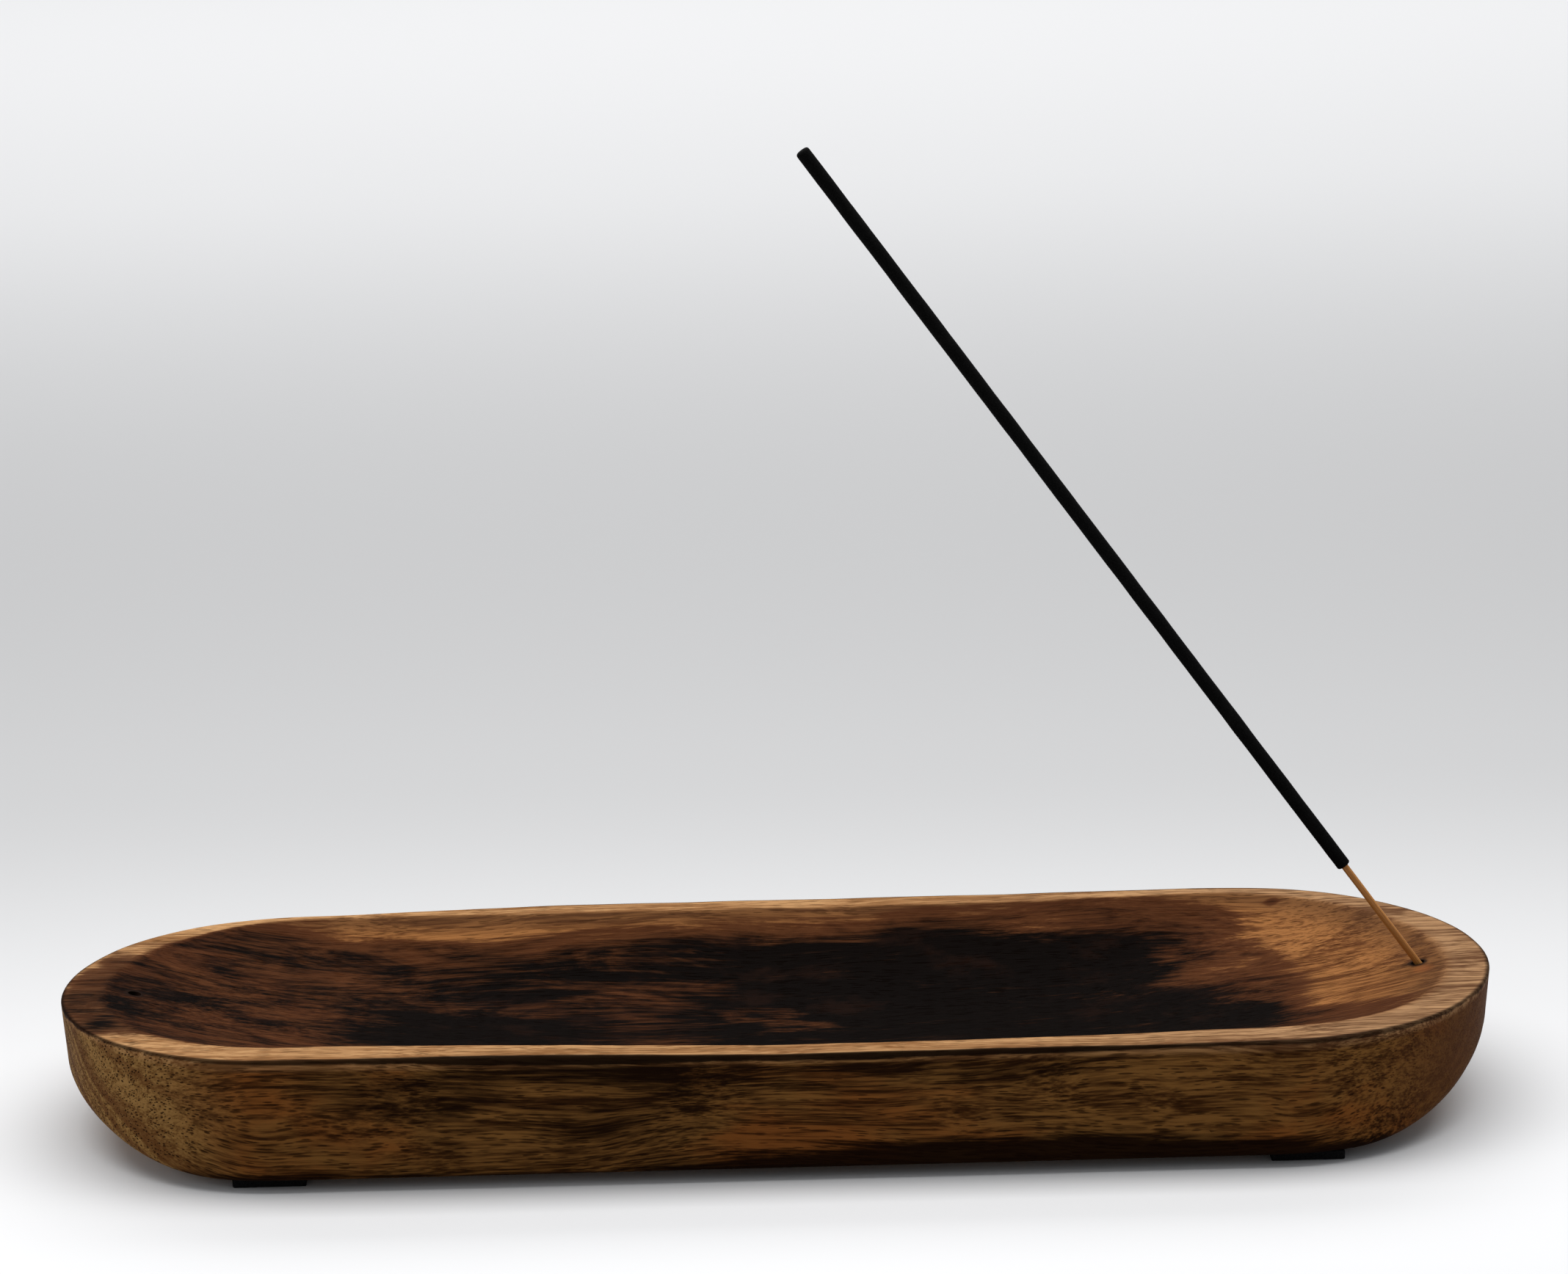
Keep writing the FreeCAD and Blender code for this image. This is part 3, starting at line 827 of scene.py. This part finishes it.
bamboo_grain = (0.62, 0.265, 0.050), (0.40, 0.150, 0.026)
bamboo_fibre = (0.20, 0.085, 0.022)
bamboo_fibre_depth = 0.35
bamboo_roughness = (0.45, 0.65)
bamboo_relief = 0.1 * MM
bamboo_relief_strength = 0.4
bamboo_strand = {"Length": 30.0, "Width": 0.35}
bamboo_hair = {"Length": 9.0, "Width": 0.12}
bamboo, tree, shader = new_material("split_bamboo")
along_stick = (0.0, math.pi / 2 + lean, 0.0)
turned = node(tree, "ShaderNodeMapping", {"Vector": place_in_mm(tree), "Rotation": along_stick}).outputs[0]
strands = place_group(tree, fibres, {"Vector": turned, **bamboo_strand})
hairs = place_group(tree, fibres, {"Vector": turned, **bamboo_hair})
colour = tint(tree, strands, *bamboo_grain)
colour = tint(tree, reckon(tree, "MULTIPLY", hairs, bamboo_fibre_depth), colour, bamboo_fibre)
tree.links.new(colour, shader.inputs["Base Color"])
tree.links.new(step_up(tree, hairs, 0.0, 1.0, *bamboo_roughness), shader.inputs["Roughness"])
bump = node(tree, "ShaderNodeBump",
            {"Height": strands, "Strength": bamboo_relief_strength, "Distance": bamboo_relief})
tree.links.new(bump.outputs[0], shader.inputs["Normal"])
core.data.materials.clear()
core.data.materials.append(bamboo)
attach(core, "stick")
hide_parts("bamboo_core")


# Incense coating
# Charcoal and gum paste, rolled by hand on to the splint and dried to a matt black crust.
# It starts above the bare foot with a small rounded edge and closes over the tip.

coat_low, coat_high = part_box("incense_coating")
coat_radius = (coat_high.y - coat_low.y) / 2
foot_round = 0.25 * MM
tip_round = 0.65 * MM
# Half width of the flat on the solid's own tip, which the lean of the stick lifts
solid_tip_flat = 0.65 * MM
bare_length = (coat_low.z - stick_foot.z + core_radius * math.sin(lean)) / math.cos(lean)
stick_length = (coat_high.z - stick_foot.z - solid_tip_flat * math.sin(lean)) / math.cos(lean)
COAT_RINGS = 300
COAT_SIDES = 32
rolled_share = 0.97
roll_depth = 0.03
rolls_per_metre = Vector((400, 400, 160))
grit_depth = 0.012
grit_per_metre = 2500
coat = rod("charcoal_coating", coat_radius, bare_length, stick_length, foot_round, tip_round,
           COAT_RINGS, COAT_SIDES)
for vertex in coat.data.vertices:
    rolled = rolled_share + roll_depth * noise.noise(vertex.co * rolls_per_metre)
    grit = grit_depth * noise.noise(vertex.co * grit_per_metre)
    vertex.co.x *= rolled + grit
    vertex.co.y *= rolled + grit
coat.data.transform(stick_turn)
bpy.ops.object.shade_smooth_by_angle(angle=stick_crease)

paste_black = (0.0012, 0.0012, 0.0012), (0.006, 0.0057, 0.0055)
dust_grey = (0.008, 0.0075, 0.007)
dust_depth = 0.5
paste_roughness = (0.95, 0.78)
paste_specular = 0.06
paste_relief = 0.12 * MM
paste_relief_strength = 0.5
grains_per_mm = 4.0
dust_per_mm = 0.15
grain_contrast = (0.4, 0.75)
grain_finish = (0.3, 0.7)
dust_contrast = (0.55, 0.8)
charcoal, tree, shader = new_material("charcoal_paste")
place = place_in_mm(tree)
grains = cloud(tree, place, grains_per_mm, detail=5.0, roughness=0.7)
dust = cloud(tree, place, dust_per_mm, detail=3.0)
colour = tint(tree, step_up(tree, grains, *grain_contrast), *paste_black)
colour = tint(tree, step_up(tree, dust, *dust_contrast, 0.0, dust_depth), colour, dust_grey)
tree.links.new(colour, shader.inputs["Base Color"])
tree.links.new(step_up(tree, grains, *grain_finish, *paste_roughness), shader.inputs["Roughness"])
shader.inputs["Specular IOR Level"].default_value = paste_specular
bump = node(tree, "ShaderNodeBump",
            {"Height": grains, "Strength": paste_relief_strength, "Distance": paste_relief})
tree.links.new(bump.outputs[0], shader.inputs["Normal"])
coat.data.materials.clear()
coat.data.materials.append(charcoal)
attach(coat, "stick")
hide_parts("incense_coating")


# Floor and light
# A wide sheet of pale paper, greyed behind the tray by painted shade that fades out far behind,
# with a large lamp overhead, one over the paper far behind, and a weak one at the left. Sizes are in metres here.

floor_size = 14.0
paper_white = (0.81, 0.81, 0.815)
# grey of the painted shade on the paper behind the tray
painted_shade_grey = (0.51, 0.51, 0.513)
paper_roughness = 0.9
paper_specular = 0.1
greying_run = (-0.08, 0.24)
whitening_run = (0.30, 1.20)
bpy.ops.object.select_all(action="DESELECT")
bpy.ops.mesh.primitive_plane_add(size=floor_size, location=(0, 0, 0))
floor = bpy.context.object
floor.name = "paper_floor"
paper, tree, shader = new_material("pale_paper")
place = node(tree, "ShaderNodeTexCoord").outputs["Object"]
behind = node(tree, "ShaderNodeSeparateXYZ", {0: place}).outputs[1]
# Painted shade: the paper's colour greys behind the tray and whitens again far behind
shade = step_up(tree, behind, *greying_run)
shade = reckon(tree, "MULTIPLY", shade, step_up(tree, behind, *whitening_run, 1.0, 0.0))
tree.links.new(tint(tree, shade, paper_white, painted_shade_grey), shader.inputs["Base Color"])
shader.inputs["Roughness"].default_value = paper_roughness
shader.inputs["Specular IOR Level"].default_value = paper_specular
floor.data.materials.append(paper)

sky_colour = (0.95, 0.97, 1.0, 1.0)
sky_strength = 0.30
world = bpy.data.worlds.new("studio")
bpy.context.scene.world = world
world.use_nodes = True
background = world.node_tree.nodes["Background"]
background.inputs["Color"].default_value = sky_colour
background.inputs["Strength"].default_value = sky_strength


def softbox(name, place, aim, width, depth, power):
    """A rectangular lamp at a place, turned to face a point."""
    lamp = bpy.data.lights.new(name, "AREA")
    lamp.shape = "RECTANGLE"
    lamp.size = width
    lamp.size_y = depth
    lamp.energy = power
    holder = bpy.data.objects.new(name, lamp)
    holder.location = place
    holder.rotation_euler = (Vector(aim) - Vector(place)).to_track_quat("-Z", "Y").to_euler()
    bpy.context.scene.collection.objects.link(holder)


softbox("overhead_lamp", place=(0.0, 0.05, 0.64), aim=(0.0, 0.05, 0.0), width=1.2, depth=0.35, power=5.1)
softbox("backdrop_lamp", place=(0.0, 1.8, 1.5), aim=(0.0, 1.8, 0.0), width=3.2, depth=1.4, power=33.0)
softbox("left_lamp", place=(-0.9, -0.3, 0.45), aim=(-0.12, 0.0, 0.02), width=0.4, depth=0.4, power=0.7)


# Camera
# Slightly above the tray and square to its long side, as in the photograph, and rolled a little.
# The lens is long, and its focal length is given in pixels of the photograph.

FRAME_WIDTH = 2136
focal_pixels = 6251
view_azimuth = math.radians(0.22)
view_elevation = math.radians(15.19)
view_roll = math.radians(-1.58)
view_distance = 948.0 * MM
view_target = Vector((3.9, 0.0, 101.0)) * MM
back = Vector((math.sin(view_azimuth) * math.cos(view_elevation),
               -math.cos(view_azimuth) * math.cos(view_elevation), math.sin(view_elevation)))
right = (-back).cross(Vector((0, 0, 1))).normalized()
up = right.cross(-back)
turned_right = math.cos(view_roll) * right + math.sin(view_roll) * up
turned_up = math.cos(view_roll) * up - math.sin(view_roll) * right
lens = bpy.data.cameras.new("camera")
lens.sensor_fit = "HORIZONTAL"
lens.lens = focal_pixels / FRAME_WIDTH * lens.sensor_width
camera = bpy.data.objects.new("camera", lens)
view_turn = Matrix((turned_right, turned_up, back)).transposed().to_4x4()
camera.matrix_world = Matrix.Translation(view_target + back * view_distance) @ view_turn
bpy.context.scene.collection.objects.link(camera)
bpy.context.scene.camera = camera
bpy.context.scene.view_settings.view_transform = "Standard"
